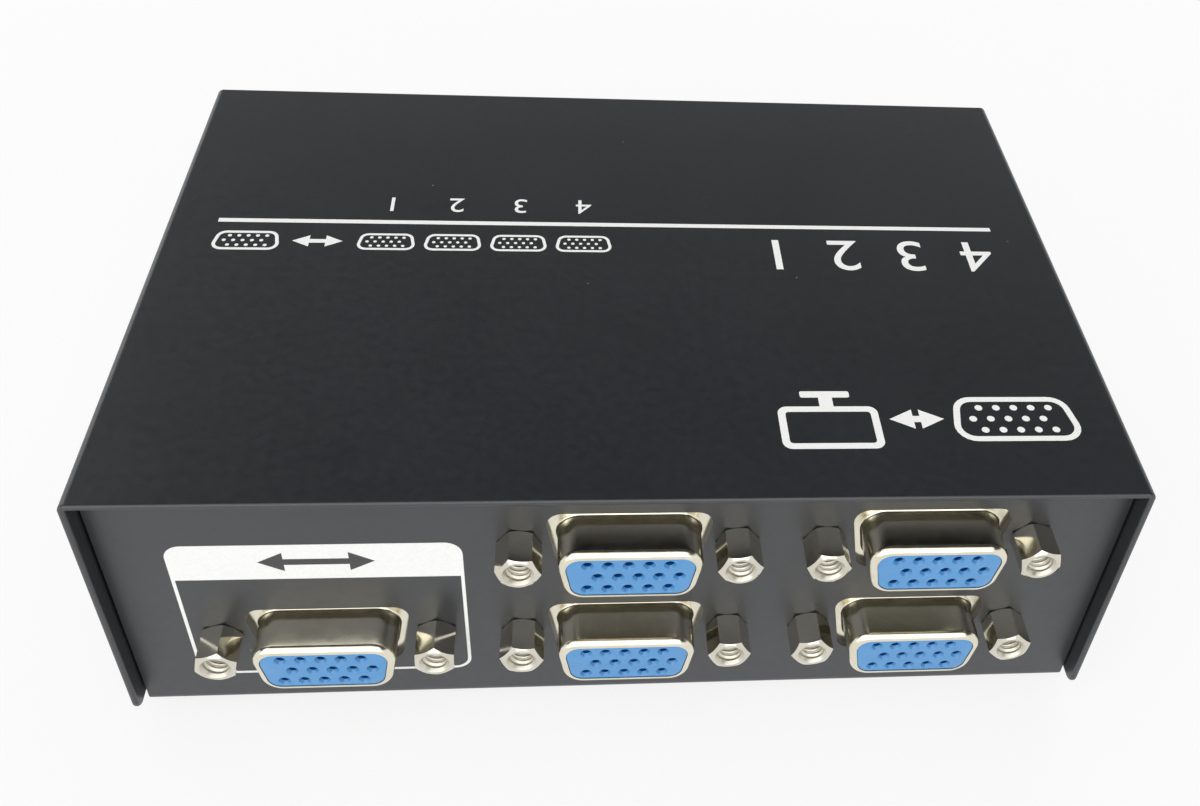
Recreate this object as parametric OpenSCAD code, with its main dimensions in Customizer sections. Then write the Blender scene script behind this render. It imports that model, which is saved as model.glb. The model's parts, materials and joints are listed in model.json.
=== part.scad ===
// Passive four-way video switch in a folded steel case. Five 15-way sockets sit
// on the back panel and four interlocked push buttons on the front panel.
// Millimetres. X runs across the panels, -Y is the socket side and Z is up. The
// origin lies under the middle of the case, level with the soles of the feet.

/* [Case] */
// Outside width of the cover
case_w = 119; // [110:1:160]
// Depth of the cover, from its socket edge to its button edge
case_d = 84; // [76:1:120]
// Height of the cover's side walls, with its top
cover_h = 37.1; // [35:0.1:60]
// Thickness of the folded steel sheet
sheet_t = 0.8; // [0.6:0.1:1.2]
// Inside radius of the sheet's bends
bend_in = 0.6; // [0.4:0.1:2]
// How far the cover reaches past each panel
overhang = 2.6; // [1:0.1:4]
// How far the tray's floor hangs below the cover's side walls
tray_drop = 1.9; // [1:0.1:4]
// Gap between the cover and the tray inside it
slip = 0.2; // [0.1:0.05:0.3]
// Radius of the lower corners of the cover's side walls
cover_corner = 1.5; // [0.5:0.1:4]
// Radius of the lower corners of the tray's two panels
tray_corner = 1; // [0.5:0.1:1.2]

/* [Cover screws and feet] */
// Width of each tray tab that takes a cover screw
tab_w = 12; // [9:0.5:20]
// Height of each tray tab
tab_h = 12; // [11:0.5:20]
// Distance of the tabs from the middle of the case
tab_y = 25; // [18:0.5:28]
// Height of the cover screws above the tray's underside
tab_screw_z = 7.5; // [6.5:0.1:8.5]
// Radius of a screw's thread
screw_r = 1.5; // [1.2:0.1:1.6]
// Radius of a screw's head
head_r = 2.75; // [2.4:0.05:3.2]
// Height of a screw's head
head_h = 1.6; // [1.2:0.1:2.2]
// Length of a cover screw's thread
cover_screw_len = 4; // [3:0.5:8]
// Diameter of a rubber foot
foot_d = 9; // [6:0.5:14]
// Height of a rubber foot
foot_h = 2; // [1:0.1:5]
// Distance of a foot's middle from the tray's edges
foot_inset = 10; // [7:0.5:20]

/* [Sockets] */
// Distance between the columns of sockets
column_pitch = 35.2; // [32:0.1:38]
// Distance between the two decks of a stacked pair
deck_pitch = 16.1; // [13.5:0.1:18]
// Height of the lower sockets' middle above the board
socket_rise = 6.4; // [6.35:0.05:9]
// Distance between the two jackscrews of a socket
jack_pitch = 24.99; // [24:0.01:27]
// Width of the D-shaped shell, outside
shell_w = 16.33; // [16:0.01:17.5]
// Height of the D-shaped shell, outside
shell_h = 7.9; // [7.6:0.05:8.6]
// Radius of the D's corners, outside
shell_r = 2.6; // [2:0.1:3.2]
// Slope of the D's sides from upright, in degrees
shell_slope = 10; // [5:1:12]
// Thickness of the shell's metal
shell_t = 0.4; // [0.3:0.05:0.5]
// Radius of the rolled lip at the shell's mouth
lip_r = 0.9; // [0.6:0.05:1.2]
// Radius where the shell rises from its flange
root_r = 0.8; // [0.4:0.05:0.82]
// How far a shell stands out of the panel
socket_reach = 5.14; // [4:0.02:7]
// Height of the shell's flange
flange_h = 12.5; // [11.5:0.1:12.6]
// How far the flange reaches past a jackscrew
flange_ear = 2.9; // [2.5:0.05:3.4]
// Gap between the shell's side and the panel's cut-out
cutout_gap_x = 1.24; // [1:0.02:1.6]
// Gap between the shell's top and the panel's cut-out
cutout_gap_z = 1.06; // [0.85:0.01:1.2]
// Radius of the cut-out's corners
cutout_r = 1.8; // [1.2:0.1:3]

/* [Contacts] */
// Distance between contacts in a row
contact_pitch = 2.29; // [2.1:0.01:2.4]
// Distance between the rows of contacts
row_pitch = 1.98; // [1.8:0.01:2.1]
// Shift of the top and bottom rows from the socket's middle
outer_row_shift = -0.265; // [-0.5:0.005:0]
// Radius of a contact's hole in the moulding
pin_hole_r = 0.58; // [0.45:0.01:0.6]
// Radius of a hole's funnel-shaped mouth
funnel_r = 0.82; // [0.65:0.01:0.95]
// Depth of a hole's funnel-shaped mouth
funnel_depth = 0.35; // [0.2:0.05:1]
// Width of a contact's tail
tail_w = 0.5; // [0.4:0.05:0.6]
// Distance from the flange to the first row of tails
tail_start = 7.52; // [7.2:0.02:9]
// Distance between the rows of tails on the board
tail_pitch = 2.54; // [2.2:0.02:3]

/* [Jackscrews] */
// Hexagon size across its flats
hex_af = 4.76; // [4.4:0.02:5]
// Length of the hexagon in front of the panel
hex_len = 4.4; // [3:0.1:6]
// Radius of the threaded stud
stud_r = 1.42; // [1.2:0.01:1.45]
// Length of the threaded stud
stud_len = 4; // [3:0.1:6]
// Radius of the bore that takes a plug's screw
jack_bore_r = 1.13; // [1:0.01:1.3]
// Depth of that bore
jack_bore_depth = 3.6; // [2:0.1:5]

/* [Board] */
// Thickness of the circuit board
board_t = 1.6; // [1:0.1:2.4]
// Gap between the board's ends and the tips of the cover screws
board_gap = 0.5; // [0.3:0.1:3]
// Height of the standoffs under the board
standoff_h = 4.1; // [3:0.1:6]
// Diameter of a standoff
standoff_d = 5.5; // [5:0.1:7]

/* [Buttons] */
// Distance between the buttons
button_pitch = 20; // [15:0.5:22]
// Width of a button cap
cap_w = 12; // [8:0.5:14]
// Height of a button cap
cap_h = 8; // [6:0.5:11]
// Radius of a cap's corners
cap_corner = 1.2; // [0.5:0.1:2.5]
// Width of the sloped border round a cap's face
cap_edge = 0.7; // [0.3:0.1:1.5]
// How far a cap stands out of the panel
cap_reach = 5.1; // [3:0.1:8]
// Gap round a cap in the panel's window
cap_gap = 0.3; // [0.3:0.05:0.6]
// How far a button travels
travel = 4; // [3:0.1:5]
// Width of a plunger
plunger_w = 5; // [4:0.1:5.4]
// Height of a plunger
plunger_h = 4; // [3:0.1:4.4]
// Width of the hook on a plunger's side
hook_w = 0.8; // [0.5:0.05:1.2]

/* [Switch bank] */
// Width of a switch's body
body_w = 8.4; // [8:0.1:12]
// Height of a switch's body
body_h = 12; // [10:0.5:14]
// Distance between the terminals along a switch
terminal_pitch = 2; // [1.8:0.05:2.1]
// Terminals in each of a switch's two rows
terminal_count = 9; // [3:1:9]
// How far the latch bar slides
latch_travel = 1.5; // [1:0.1:2]
// Thickness of the latch bar
latch_t = 0.8; // [0.5:0.1:1.2]
// Turns of a plunger's spring
spring_turns = 6; // [3:1:8]
// Diameter of the springs' wire
wire_d = 0.4; // [0.3:0.05:0.5]
// Radius of a plunger spring at the wire's middle
spring_r = 3.6; // [3.5:0.05:4]
// Radius of the latch spring at the wire's middle
latch_spring_r = 1.7; // [1.5:0.05:2.5]
// Length of the latch spring
latch_spring_len = 8; // [6:0.5:12]

/* [Hidden] */
$fn = 48;
// Reach of a cutting tool past the face that it cuts
past = 1;
// Clearance of pieces that are pressed or moulded together
snug = 0.05;
// Clearance of pieces that slip or are laid together
loose = 0.1;
// Clearance of pieces that move past each other
run = 0.3;
// Steps along the quarter round of a drawn sheet's edge
round_steps = 5;

// Levels and faces of the case
bend_out = bend_in + sheet_t;
tray_z = foot_h;
floor_z = tray_z + sheet_t;
cover_z = tray_z + tray_drop;
cover_top = cover_z + cover_h;
tray_x = case_w / 2 - sheet_t - slip;
panel_y = case_d / 2 - overhang;
panel_in = panel_y - sheet_t;
panel_top = cover_top - sheet_t - slip;
tab_relief = 0.8;
cover_hole_r = screw_r + loose * 2;
tapped_hole_r = screw_r + snug;

// Sockets: column and deck of each, and the turn at which each hexagon came tight
ports = ["common_port", "port_1", "port_2", "port_3", "port_4"];
port_column = [-1, 0, 0, 1, 1];
port_deck = [0, 1, 0, 1, 0];
hex_turn = [[24, 32], [0, 0], [0, 0], [0, 17], [4, 12]];
columns = ["common_port", "stack_1", "stack_2"];
column_decks = [1, 2, 2];
rows = 3;
row_contacts = 5;
board_top = floor_z + standoff_h + board_t;
low_z = board_top + socket_rise;
shell_front = sheet_t + socket_reach;
flange_w = jack_pitch + 2 * flange_ear;
flange_corner = 1.2;
flange_hole_r = stud_r + loose * 1.5;
cutout = [shell_w + 2 * cutout_gap_x, shell_h + 2 * cutout_gap_z];
middle_row_shift = outer_row_shift + contact_pitch / 2;

// Bracket, moulding and tails behind a socket's flange
bracket_t = 1;
bracket_side = flange_ear - 2 * loose;
bracket_in = jack_pitch / 2 - bracket_side;
bracket_foot = 8;
lock_r = 1;
lock_len = 2.4;
block_w = 2 * (bracket_in - loose * 2);
block_h = 10.6;
block_d = 5.5;
cheek_t = 1;
organiser_t = 1.5;
organiser_back = 1.8;
tail_hole = tail_w + 4 * loose;
tail_below = 1.2;
contact_r = pin_hole_r - snug;
contact_recess = 1.6;
contact_bore_r = 0.28;
contact_bore_depth = 3;
tail_hole_r = tail_w * sqrt(2) / 2 + loose;

// Chain of places along the button bank, from the panel inwards
stations = [for (k = [0:3]) (k - 1.5) * button_pitch];
cap_inside = 1.1;
cap_back = panel_in - cap_inside;
cap_front = panel_y + cap_reach;
cap_wall = 2.5;
web_front = cap_back - travel - run;
web_back = web_front - sheet_t;
hook_gap = 0.8;
hook_front = web_back - hook_gap;
latch_back = hook_front - travel + run + loose;
latch_front = latch_back + latch_t;
hook_back = latch_front + run + loose;
collar_t = 1;
collar_gap = 1.5;
collar_front = latch_back - collar_gap;
collar_back = collar_front - collar_t;
collar_size = 2 * (spring_r + wire_d);
spring_spare = 1.1;
spring_len = travel + spring_turns * wire_d + spring_spare;
body_front = collar_back - spring_len;
plunger_in = 16;
body_wall = 1.4;
channel_d = plunger_in + travel + 2 * run;
body_d = channel_d + body_wall;
body_z = board_top + loose;
switch_z = body_z + body_h / 2;
channel_z = body_z + body_h + loose;
channel_floor = body_z - loose;
terminal_x = 2.5;
terminal_inset = (body_d - (terminal_count - 1) * terminal_pitch) / 2;

// Latch bar and the channel's two cheeks, from the outer stations
latch_tail = 8;
latch_end = stations[3] + latch_tail;
cheek_left = -latch_end - run;
cheek_right = latch_end + latch_spring_len;
cheek_reach = 10;
cheek_back = body_front - cheek_reach;
cheek_tab = 2;
nib_w = 2;
nib_len = 3;

// Board outline and standoffs, clear of the brackets' feet and the channel
board_x = case_w / 2 - cover_screw_len - board_gap;
board_setback = 1.1;
board_back = -panel_in + board_setback;
board_margin = 2.5;
board_front = body_front - board_margin;
standoff_inset = 4;
standoff_gap = 1.5;
standoff_x = board_x - standoff_inset;
standoff_back = -panel_in + shell_t + bracket_foot + head_r + standoff_gap;
standoff_front = cheek_back - head_r - standoff_gap;
board_hole_r = screw_r + loose;
board_screw_len = board_t + standoff_h - sheet_t - 2 * loose;

// Points of an arc from angle a to angle b
function arc(centre, r, a, b, steps) =
    [for (i = [0:steps]) centre + r * [cos(a + (b - a) * i / steps), sin(a + (b - a) * i / steps)]];

function port_x(k) = port_column[k] * column_pitch;
function port_z(k) = low_z + port_deck[k] * deck_pitch;
function row_shift(row) = row == 1 ? middle_row_shift : outer_row_shift;
function contact_x(row, i) = row_shift(row) + (i - (row_contacts - 1) / 2) * contact_pitch;
function contact_z(row) = (1 - row) * row_pitch;
// Depth of a contact's tail behind the flange: lower rows and decks drop first
function tail_depth(deck, row) = tail_start + ((deck + 1) * rows - 1 - row) * tail_pitch;
function organiser_d(decks) = tail_depth(decks - 1, 0) + organiser_back;

// Corner centres of a D of the given width, height and corner radius, from the
// upper right one round to the lower right, and the angles that each corner spans
function d_centres(size, r) =
    let (top = size.x / 2 - r, rise = size.y / 2 - r, low = top - 2 * rise * tan(shell_slope))
    [[top, rise], [-top, rise], [-low, -rise], [low, -rise]];
d_from = [-shell_slope, 90, 180 + shell_slope, 270];
d_to = [90, 180 + shell_slope, 270, 360 - shell_slope];
// Outline of that D, grown evenly all round
function d_outline(size, r, grow = 0) =
    let (c = d_centres(size, r))
    [for (i = [0:3]) each arc(c[i], r + grow, d_from[i], d_to[i], round_steps)];

// Solid D between two heights
module d_prism(size, r, low, high, grow = 0) {
    translate([0, 0, low]) linear_extrude(high - low) polygon(d_outline(size, r, grow));
}

// Sheet drawn up round a D: each point of its closed profile gives the D's growth and a height
module d_wall(size, r, profile) {
    rings = len(profile);
    sides = len(d_outline(size, r));
    points = [for (p = profile) for (q = d_outline(size, r, p.x)) [q.x, q.y, p.y]];
    walls = [for (i = [0:rings - 1]) for (j = [0:sides - 1])
        let (a = i * sides + j, b = i * sides + (j + 1) % sides)
        let (c = (i + 1) % rings * sides + j, d = (i + 1) % rings * sides + (j + 1) % sides)
        each [[a, c, d], [a, d, b]]];
    polyhedron(points, walls);
}

// Flat plate with four round corners, standing on z = 0
module round_plate(w, h, t, r) {
    translate([-w / 2, -h / 2 + r, 0]) cube([w, h - 2 * r, t]);
    for (s = [0, 1]) mirror([0, s, 0]) {
        translate([-w / 2 + r, h / 2 - r, 0]) cube([w - 2 * r, r, t]);
        for (m = [0, 1]) mirror([m, 0, 0])
            translate([w / 2 - r, h / 2 - r, 0]) rotate_extrude(angle = 90) square([r, t]);
    }
}

// Quarter bend of the sheet, along Y, turning from +X up to +Z
module sheet_bend(length) {
    translate([0, length / 2, bend_out]) rotate([90, 0, 0]) rotate(-90)
        rotate_extrude(angle = 90) translate([bend_in, 0]) square([sheet_t, length]);
}

// U-shaped fold: a web across X with a wall up at each end, running along Y
module folded_u(span, length, height) {
    translate([-span / 2 + bend_out, -length / 2, 0]) cube([span - 2 * bend_out, length, sheet_t]);
    for (m = [0, 1]) mirror([m, 0, 0]) {
        translate([span / 2 - bend_out, 0, 0]) sheet_bend(length);
        translate([span / 2 - sheet_t, -length / 2, bend_out]) cube([sheet_t, length, height - bend_out]);
    }
}

// Tool that rounds a sheet's corner at the origin; the sheet lies in X < 0, Z > 0 along Y
module corner_tool(r, depth) {
    difference() {
        translate([-r, -depth / 2, -past]) cube([r + past, depth, r + past]);
        translate([-r, depth, r]) rotate([90, 0, 0]) cylinder(r = r, h = 2 * depth);
    }
}

// Pan-head screw, head up, with its bearing face at z = 0
module pan_screw(thread_r, length) {
    point = 0.4;
    dome = head_h * 0.6;
    crown = head_r * 0.6;
    recess_w = 0.6;
    recess = [head_r * 1.1, recess_w, head_h * 0.6];
    difference() {
        rotate_extrude() polygon(concat(
            [[0, -length], [thread_r - point, -length], [thread_r, -length + point]],
            [[thread_r, 0], [head_r, 0]],
            [for (i = [0:round_steps]) let (a = 90 * i / round_steps)
                [crown + (head_r - crown) * cos(a), head_h - dome + dome * sin(a)]],
            [[0, head_h]]));
        for (turn = [0, 90])
            rotate(turn) translate([-recess.x / 2, -recess.y / 2, head_h - recess.z])
                cube(recess + [0, 0, past]);
    }
}

// Helical wire about Z as one tube of six sides; its least gap to itself is echoed
module helix_spring(r, turns, length) {
    turn_steps = 8;
    sides = 6;
    steps = turns * turn_steps;
    rise = length - wire_d;
    function outward(i) = [cos(360 * i / turn_steps), sin(360 * i / turn_steps), 0];
    function on_axis(i) = r * outward(i) + [0, 0, wire_d / 2 + rise * i / steps];
    function ring(i) = [for (s = [0:sides - 1])
        on_axis(i) + wire_d / 2 * (cos(360 * s / sides) * outward(i) + [0, 0, sin(360 * s / sides)])];
    points = [for (i = [0:steps]) each ring(i)];
    walls = [for (i = [0:steps - 1]) for (s = [0:sides - 1])
        let (a = i * sides + s, b = i * sides + (s + 1) % sides)
        each [[a, a + sides, b + sides], [a, b + sides, b]]];
    first_end = [for (s = [1:sides - 2]) [0, s, s + 1]];
    last_end = [for (s = [1:sides - 2]) [0, s + 1, s] + steps * sides * [1, 1, 1]];
    gaps = [for (i = [0:steps - turn_steps]) norm(on_axis(i + turn_steps) - on_axis(i)) - wire_d];
    echo(least_gap_in_spring = min(gaps));
    polyhedron(points, concat(walls, first_end, last_end));
}

// Places that repeat
module at_port(k) {
    translate([port_x(k), -panel_in, port_z(k)]) rotate([90, 0, 0]) children();
}
module at_jacks() {
    for (s = [-1, 1]) translate([s * jack_pitch / 2, 0, 0]) children();
}
module at_station(k) {
    translate([stations[k - 1], 0, switch_z]) children();
}
module at_standoffs() {
    for (x = [-standoff_x, standoff_x]) for (y = [standoff_back, standoff_front])
        translate([x, y, 0]) children();
}
module at_tabs() {
    for (m = [0, 1]) mirror([m, 0, 0]) for (y = [-tab_y, tab_y]) translate([tray_x, y, tray_z]) children();
}
module at_tails() {
    for (k = [0:len(ports) - 1]) for (row = [0:rows - 1]) for (i = [0:row_contacts - 1])
        translate([port_x(k) + contact_x(row, i), tail_depth(port_deck[k], row) - panel_in, 0]) children();
}
module at_terminals() {
    for (x = stations) for (s = [-1, 1]) for (i = [0:terminal_count - 1])
        translate([x + s * terminal_x, body_front - terminal_inset - i * terminal_pitch, 0]) children();
}
module along_x(r, from, to) {
    translate([from, 0, 0]) rotate([0, 90, 0]) cylinder(r = r, h = to - from);
}

// Case
module top_cover() {
    color("#1f2022") difference() {
        translate([0, 0, cover_top]) mirror([0, 0, 1]) folded_u(case_w, case_d, cover_h);
        at_tabs() translate([0, 0, tab_screw_z]) along_x(cover_hole_r, -past, slip + sheet_t + past);
        for (s = [0, 1]) mirror([0, s, 0])
            translate([0, -case_d / 2, cover_z]) rotate(-90) corner_tool(cover_corner, case_w + past);
    }
}

module bottom_tray() {
    height = panel_top - tray_z;
    color("#2a2b2c") difference() {
        union() {
            difference() {
                translate([0, 0, tray_z]) rotate(90) folded_u(2 * panel_y, 2 * tray_x, height);
                at_tabs() translate([-bend_out, -tab_w / 2 - tab_relief, -past])
                    cube([bend_out + past, tab_w + 2 * tab_relief, sheet_t + 2 * past]);
            }
            at_tabs() {
                translate([-bend_out, 0, 0]) sheet_bend(tab_w);
                translate([-sheet_t, -tab_w / 2, bend_out]) cube([sheet_t, tab_w, tab_h - bend_out]);
            }
        }
        at_tabs() translate([0, 0, tab_screw_z]) along_x(tapped_hole_r, -sheet_t - past, past);
        for (k = [0:len(ports) - 1]) at_port(k) {
            d_prism(cutout, cutout_r, -past, sheet_t + past);
            at_jacks() translate([0, 0, -past]) cylinder(r = flange_hole_r, h = sheet_t + 2 * past);
        }
        for (k = [1:4]) at_station(k)
            translate([-cap_w / 2 - cap_gap, panel_in - past, -cap_h / 2 - cap_gap])
                cube([cap_w + 2 * cap_gap, sheet_t + 2 * past, cap_h + 2 * cap_gap]);
        for (m = [0, 1]) mirror([m, 0, 0])
            translate([tray_x, 0, panel_top]) mirror([0, 0, 1]) corner_tool(bend_in - slip + snug, case_d);
        for (m = [0, 1], n = [0, 1]) mirror([m, 0, 0]) mirror([0, n, 0])
            translate([tray_x, panel_y - bend_out / 2 + past / 2, tray_z])
                corner_tool(tray_corner, bend_out + past);
    }
}

module cover_screws() {
    color("#151515") at_tabs()
        translate([slip + sheet_t, 0, tab_screw_z]) rotate([0, 90, 0]) pan_screw(screw_r, cover_screw_len);
}

module rubber_feet() {
    top_r = foot_d / 2;
    bead = foot_h / 4;
    color("#111111")
        for (x = [-1, 1]) for (y = [-1, 1])
            translate([x * (tray_x - foot_inset), y * (panel_y - foot_inset), 0])
                rotate_extrude() polygon(concat(
                    [[0, 0]],
                    arc([top_r - 2 * bead, bead], bead, 270, 360, round_steps),
                    [[top_r, foot_h], [0, foot_h]]));
}

// Sockets
module port_shell(k) {
    size = [shell_w, shell_h];
    root = [root_r, root_r];
    lip = [-lip_r, shell_front - lip_r];
    lap = 0.4;
    profile = concat(
        [[root_r + lap, 0]],
        arc(root, root_r, 270, 180, round_steps),
        arc(lip, lip_r, 0, 90, round_steps),
        arc(lip, lip_r - shell_t, 90, 0, round_steps),
        arc(root, root_r + shell_t, 180, 270, round_steps),
        [[root_r + lap, -shell_t]]);
    color("#c9c7c0") at_port(k) {
        d_wall(size, shell_r, profile);
        difference() {
            translate([0, 0, -shell_t]) round_plate(flange_w, flange_h, shell_t, flange_corner);
            d_prism(size, shell_r, -shell_t - past, past, root_r + lap / 2);
            at_jacks() translate([0, 0, -past]) cylinder(r = flange_hole_r, h = 2 * past);
        }
    }
}

module port_insulator(k) {
    size = [shell_w, shell_h];
    mouth = shell_front - snug;
    back = -shell_t - snug - block_d;
    color("#5b9bd7") at_port(k) difference() {
        union() {
            d_prism(size, shell_r, -shell_t - snug - past, shell_front - lip_r, -shell_t - snug);
            d_prism(size, shell_r, shell_front - lip_r - past, mouth, -lip_r - snug);
            translate([0, 0, back]) round_plate(block_w, block_h, block_d, flange_corner);
        }
        for (row = [0:rows - 1]) for (i = [0:row_contacts - 1])
            translate([contact_x(row, i), contact_z(row), 0]) rotate_extrude() polygon([
                [0, back - past], [pin_hole_r, back - past], [pin_hole_r, mouth - funnel_depth],
                [funnel_r, mouth], [funnel_r, mouth + past], [0, mouth + past]]);
    }
}

module port_contacts(k) {
    deck = port_deck[k];
    front = shell_front - contact_recess;
    behind = -shell_t - block_d - 2 * snug;
    below = board_top - port_z(k) - board_t - tail_below;
    color("#d8c27a") at_port(k) for (row = [0:rows - 1]) for (i = [0:row_contacts - 1]) {
        depth = tail_depth(deck, row);
        translate([contact_x(row, i), 0, 0]) {
            translate([0, contact_z(row), behind]) difference() {
                cylinder(r = contact_r, h = front - behind);
                translate([0, 0, front - behind - contact_bore_depth])
                    cylinder(r = contact_bore_r, h = contact_bore_depth + past);
            }
            translate([-tail_w / 2, contact_z(row) - tail_w / 2, -depth - tail_w / 2])
                cube([tail_w, tail_w, depth + behind + tail_w / 2]);
            translate([-tail_w / 2, below, -depth - tail_w / 2])
                cube([tail_w, contact_z(row) + tail_w / 2 - below, tail_w]);
        }
    }
}

module port_jackscrews(k) {
    corner_r = hex_af / sqrt(3);
    slope = corner_r - hex_af / 2;
    countersink = 0.6;
    countersink_depth = 0.3;
    bore_end = hex_len - jack_bore_depth;
    color("#cfcdc6") at_port(k) for (s = [0, 1])
        translate([(s - 0.5) * jack_pitch, 0, sheet_t]) difference() {
            union() {
                intersection() {
                    rotate(hex_turn[k][s]) cylinder(r = corner_r, h = hex_len, $fn = 6);
                    rotate_extrude() polygon([[0, 0], [corner_r + snug, 0],
                        [corner_r + snug, hex_len - slope], [hex_af / 2 - snug, hex_len], [0, hex_len]]);
                }
                translate([0, 0, -stud_len]) cylinder(r = stud_r, h = stud_len);
            }
            rotate_extrude() polygon([[0, bore_end], [jack_bore_r, bore_end],
                [jack_bore_r, hex_len - countersink_depth], [jack_bore_r + countersink, hex_len],
                [jack_bore_r + countersink, hex_len + past], [0, hex_len + past]]);
        }
}

// Moulded organiser that guides the tails of one column down to the board
module port_housing(c) {
    decks = column_decks[c];
    depth = organiser_d(decks);
    front = shell_t + block_d + loose;
    top = low_z + (decks - 1) * deck_pitch + block_h / 2;
    base = board_top + snug;
    color("#26282b") translate([(c - 1) * column_pitch, -panel_in, 0]) difference() {
        union() {
            for (m = [0, 1]) mirror([m, 0, 0]) translate([block_w / 2 - cheek_t, front, base])
                cube([cheek_t, depth - front, top - base]);
            translate([-block_w / 2, front, base]) cube([block_w, depth - front, organiser_t]);
            translate([-block_w / 2, front, top - cheek_t]) cube([block_w, depth - front, cheek_t]);
        }
        for (deck = [0:decks - 1]) for (row = [0:rows - 1]) for (i = [0:row_contacts - 1])
            translate([contact_x(row, i) - tail_hole / 2, tail_depth(deck, row) - tail_hole / 2, base - past])
                cube([tail_hole, tail_hole, organiser_t + 2 * past]);
    }
}

// Tapped steel angles left and right of one column, standing on the board
module port_bracket(c) {
    decks = column_decks[c];
    front = shell_t + snug;
    base = board_top + snug;
    top = low_z + (decks - 1) * deck_pitch + flange_h / 2;
    width = bracket_side + flange_ear;
    tap_back = front + bracket_t + past;
    color("#b9b9b4") translate([(c - 1) * column_pitch, -panel_in, 0])
        for (m = [0, 1]) mirror([m, 0, 0]) difference() {
            union() {
                translate([bracket_in, front, base]) cube([width, bracket_t, top - base]);
                translate([bracket_in, front, base]) cube([width, bracket_foot, bracket_t]);
                translate([jack_pitch / 2, front + bracket_foot / 2, base - lock_len])
                    cylinder(r = lock_r, h = lock_len + bracket_t / 2);
            }
            for (deck = [0:decks - 1])
                translate([jack_pitch / 2, tap_back, low_z + deck * deck_pitch])
                    rotate([90, 0, 0]) cylinder(r = stud_r + snug, h = bracket_t + 2 * past);
        }
}

// Board
module main_board() {
    drill_h = board_t + 2 * past;
    color("#2f6b3a") difference() {
        translate([-board_x, board_back, board_top - board_t])
            cube([2 * board_x, board_front - board_back, board_t]);
        translate([0, 0, board_top - board_t - past]) {
            at_tails() cylinder(r = tail_hole_r, h = drill_h);
            at_terminals() cylinder(r = tail_hole_r, h = drill_h);
            at_standoffs() cylinder(r = board_hole_r, h = drill_h);
            for (c = [-1:1]) translate([c * column_pitch, shell_t + snug + bracket_foot / 2 - panel_in, 0])
                at_jacks() cylinder(r = lock_r + loose, h = drill_h);
            for (x = [cheek_left - sheet_t, cheek_right])
                translate([x - loose, cheek_back - loose, 0])
                    cube([sheet_t + 2 * loose, cheek_tab + 2 * loose, drill_h]);
        }
    }
}

module board_standoffs() {
    color("#c0b070") at_standoffs() translate([0, 0, floor_z]) difference() {
        cylinder(d = standoff_d, h = standoff_h);
        translate([0, 0, sheet_t]) cylinder(r = screw_r + snug, h = standoff_h);
    }
}

module board_screws() {
    color("#bdbdb8") at_standoffs() translate([0, 0, board_top]) pan_screw(screw_r, board_screw_len);
}

// Push-button bank
module switch_bracket() {
    deep = web_front - cheek_back;
    wide = cheek_right - cheek_left;
    tall = channel_z - channel_floor;
    lip_back = board_front + run;
    tab_below = board_t + tail_below;
    window = [plunger_w + 2 * run, sheet_t + 2 * past, plunger_h + 2 * run];
    color("#c4c4be") difference() {
        union() {
            translate([cheek_left, web_back, channel_floor - sheet_t])
                cube([wide, sheet_t, tall + 2 * sheet_t]);
            translate([cheek_left, cheek_back, channel_z]) cube([wide, deep, sheet_t]);
            translate([cheek_left, lip_back, channel_floor - sheet_t])
                cube([wide, web_front - lip_back, sheet_t]);
            for (x = [cheek_left - sheet_t, cheek_right]) {
                translate([x, cheek_back, channel_floor]) cube([sheet_t, deep, tall + sheet_t]);
                translate([x, lip_back, channel_floor - sheet_t])
                    cube([sheet_t, web_front - lip_back, sheet_t]);
                translate([x, cheek_back, channel_floor - tab_below]) cube([sheet_t, cheek_tab, tab_below]);
            }
        }
        for (k = [1:4]) at_station(k)
            translate([-window.x / 2, web_back - past, -window.z / 2]) cube(window);
    }
}

module switch_body(k) {
    channel = [plunger_w + 2 * run, channel_d + past, plunger_h + 2 * run];
    rib = 1;
    color("#e6e2d6") at_station(k) difference() {
        union() {
            translate([-body_w / 2, body_front - body_d, -body_h / 2]) cube([body_w, body_d, body_h]);
            for (s = [-1, 1]) translate([s * body_w / 2 - rib / 2, body_front - body_d, -body_h / 2])
                cube([rib, body_d, body_h / 3]);
        }
        translate([-channel.x / 2, body_front - channel_d, -channel.z / 2]) cube(channel);
    }
}

module switch_terminals() {
    color("#cfcfc8") at_terminals() translate([-tail_w / 2, -tail_w / 2, board_top - board_t - tail_below])
        cube([tail_w, tail_w, board_t + tail_below + loose]);
}

module plunger(k) {
    back = body_front - plunger_in;
    tip = cap_front - cap_wall;
    side = -plunger_w / 2;
    hook_tip = side - hook_w;
    hook = [[side, hook_back], [hook_tip, hook_back + hook_w], [hook_tip, hook_front], [side, hook_front]];
    color("#f0ede2") at_station(k) {
        translate([-plunger_w / 2, back, -plunger_h / 2]) cube([plunger_w, tip - back, plunger_h]);
        translate([-collar_size / 2, collar_back, -collar_size / 2])
            cube([collar_size, collar_t, collar_size]);
        translate([0, 0, -plunger_h / 2]) linear_extrude(plunger_h) polygon(hook);
    }
}

module plunger_spring(k) {
    color("#d5d5d0") at_station(k) translate([0, body_front + snug, 0]) rotate([-90, 0, 0])
        helix_spring(spring_r, spring_turns, spring_len - 2 * snug);
}

module button_cap(k) {
    socket = [plunger_w + 2 * snug, cap_front - cap_wall - cap_back + past, plunger_h + 2 * snug];
    depth = cap_front - cap_back;
    color("#17181a") at_station(k) difference() {
        translate([0, cap_back, 0]) rotate([-90, 0, 0]) hull() {
            round_plate(cap_w, cap_h, depth - cap_edge, cap_corner);
            round_plate(cap_w - 2 * cap_edge, cap_h - 2 * cap_edge, depth, cap_corner);
        }
        translate([-socket.x / 2, cap_back - past + snug, -socket.z / 2]) cube(socket);
    }
}

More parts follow.
